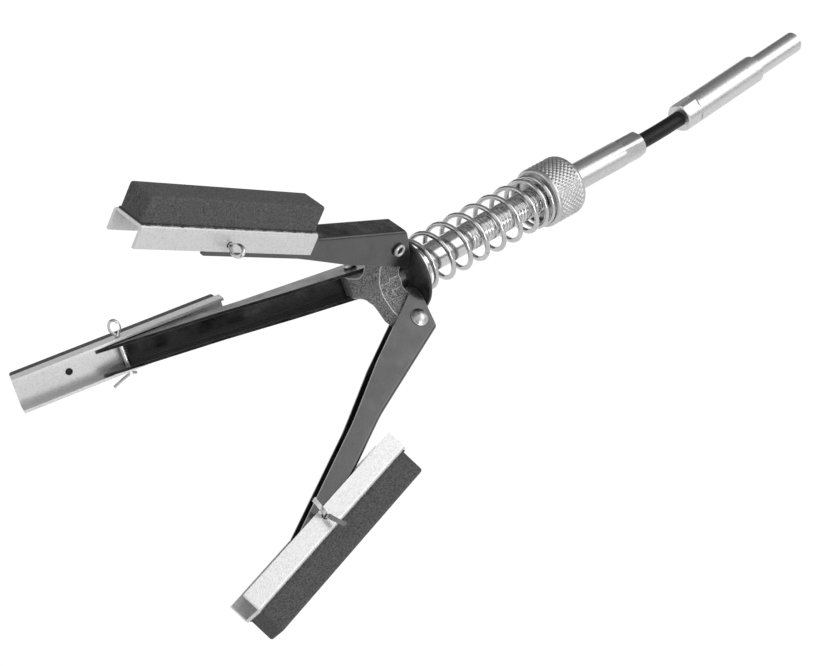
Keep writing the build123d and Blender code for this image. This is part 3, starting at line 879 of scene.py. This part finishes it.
# a white room, as the lens and bright metal see it, that gives a plain level of light
world = bpy.data.worlds.new("studio")
bpy.context.scene.world = world
world.use_nodes = True
tree = world.node_tree
backdrop = add_node(tree, "ShaderNodeMix", data_type="RGBA")
tree.links.new(seen_rays(tree), backdrop.inputs[MIX_FACTOR])
backdrop.inputs[MIX_A].default_value = (*grey(DAYLIGHT), 1)
backdrop.inputs[MIX_B].default_value = (*grey(1), 1)
tree.links.new(backdrop.outputs[MIX_RESULT], tree.nodes["Background"].inputs["Color"])


def flag(name, rings, shade):
    """A dark card that only reflections see, as photographers stand beside bright metal."""
    card = skin(name, rings, around=False)
    cloth = bpy.data.materials.new(name)
    cloth.use_nodes = True
    cloth_shader = cloth.node_tree.nodes["Principled BSDF"]
    cloth_shader.inputs["Base Color"].default_value = (0, 0, 0, 1)
    cloth_shader.inputs["Specular IOR Level"].default_value = 0
    cloth_shader.inputs["Emission Color"].default_value = (*grey(shade), 1)
    cloth_shader.inputs["Emission Strength"].default_value = 1.0
    card.data.materials.append(cloth)
    card.visible_camera = False
    card.visible_diffuse = False
    card.visible_transmission = False
    card.visible_shadow = False


def wall(radius, heights, azimuths):
    """Rings of an upright curved card round the object, at the given heights."""
    middle = Vector(STUDIO_CENTRE)
    angles = [math.radians(a) for a in steps(*azimuths, CARD_STEPS)]
    rings = []
    for z in heights:
        rings.append([middle + Vector((radius * math.cos(a), radius * math.sin(a), z)) for a in angles])
    return rings


flag("low_flag", wall(0.7, (card_foot, 0.08), (-10, 110)), 0.05)
flag("side_flag", wall(0.9, (card_foot, 0.16), (-66, -25)), 0.36)
flag("near_flag", wall(0.62, (card_foot, 0.26), (-156, -114)), 0.04)
flag("far_flag", wall(1.25, (0.1, 1.0), (-5, 125)), 0.24)
flag("top_flag", [[Vector((x, y, 1.3)) for x in (-1.6, 1.2)] for y in (-0.25, 1.6)], 0.34)


def softbox(name, spot, size, power):
    """A rectangular lamp at spot, facing the object."""
    lamp = bpy.data.lights.new(name, "AREA")
    lamp.shape = "RECTANGLE"
    lamp.size, lamp.size_y = size
    lamp.energy = power
    box = bpy.data.objects.new(name, lamp)
    box.location = spot
    box.rotation_euler = (Vector(STUDIO_CENTRE) - Vector(spot)).to_track_quat("-Z", "Y").to_euler()
    bpy.context.scene.collection.objects.link(box)


softbox("key", (0.5, -0.62, 0.62), (1.1, 0.72), 4.3)
softbox("fill", (-0.9, 0.4, 0.9), (0.7, 0.5), 1.2)
softbox("side", (-0.45, -1.0, 0.22), (0.6, 0.4), 3.0)

# camera at the photograph's place and lens
RIGHT = Vector((0.687231475, -0.725645559, 0.034192054))
DOWN = Vector((-0.470696921, -0.480664800, -0.739858510))
FORWARD = Vector((0.553266702, 0.492398292, -0.671873557))
CAMERA_AT = Vector((-0.587855, -0.338555, 0.444833))
FOCAL_PIXELS = 1994.452
IMAGE_WIDTH = 826
SENSOR_WIDTH = 36.0
lens = bpy.data.cameras.new("camera")
lens.sensor_fit = "HORIZONTAL"
lens.sensor_width = SENSOR_WIDTH
lens.lens = FOCAL_PIXELS / IMAGE_WIDTH * SENSOR_WIDTH
lens.clip_start = 0.02
lens.clip_end = 20.0
camera = bpy.data.objects.new("camera", lens)
bpy.context.scene.collection.objects.link(camera)
turn = Matrix((RIGHT, -DOWN, -FORWARD)).transposed().to_4x4()
camera.matrix_world = Matrix.Translation(CAMERA_AT) @ turn
bpy.context.scene.camera = camera
bpy.context.scene.view_settings.view_transform = "Standard"
